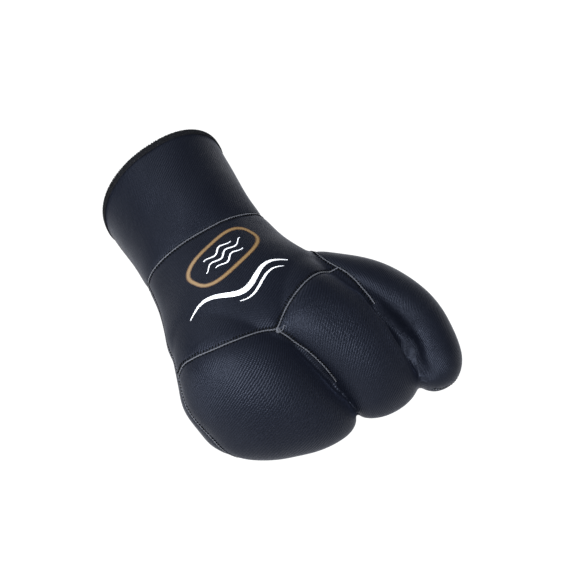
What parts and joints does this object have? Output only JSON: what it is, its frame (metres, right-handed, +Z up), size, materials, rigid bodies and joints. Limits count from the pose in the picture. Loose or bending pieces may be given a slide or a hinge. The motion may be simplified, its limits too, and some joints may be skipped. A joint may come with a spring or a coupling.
{
  "type": "diving mitt",
  "caption": "Right-hand diving mitt in thick neoprene: thumb, index pocket and one wide pocket for the other fingers, with a long flared cuff and overlocked rim",
  "frame": {"origin": "on the floor, under the middle of the mitt's box", "axes": "+Y from the fingertips to the cuff, +X towards the thumb, +Z up through the back of the hand; the mitt lies palm down"},
  "size_m": [0.1998, 0.254, 0.0871],
  "materials": {
    "jersey_cuff": "navy-black nylon jersey laminated on foam neoprene",
    "jersey_hand_back": "navy-black nylon jersey laminated on foam neoprene",
    "jersey_three_finger_back": "navy-black nylon jersey laminated on foam neoprene",
    "jersey_index_back": "navy-black nylon jersey laminated on foam neoprene",
    "jersey_palm": "navy-black nylon jersey laminated on foam neoprene",
    "jersey_thumb_upper": "navy-black nylon jersey laminated on foam neoprene",
    "jersey_thumb_lower": "navy-black nylon jersey laminated on foam neoprene",
    "overlock_thread": "dark grey overlock thread"
  },
  "bodies": {
    "root": {"cuff": "jersey_cuff", "hand_back": "jersey_hand_back", "three_finger_back": "jersey_three_finger_back", "index_back": "jersey_index_back", "palm": "jersey_palm", "thumb_upper": "jersey_thumb_upper", "thumb_lower": "jersey_thumb_lower", "cuff_edge": "overlock_thread"}
  },
  "joints": []
}
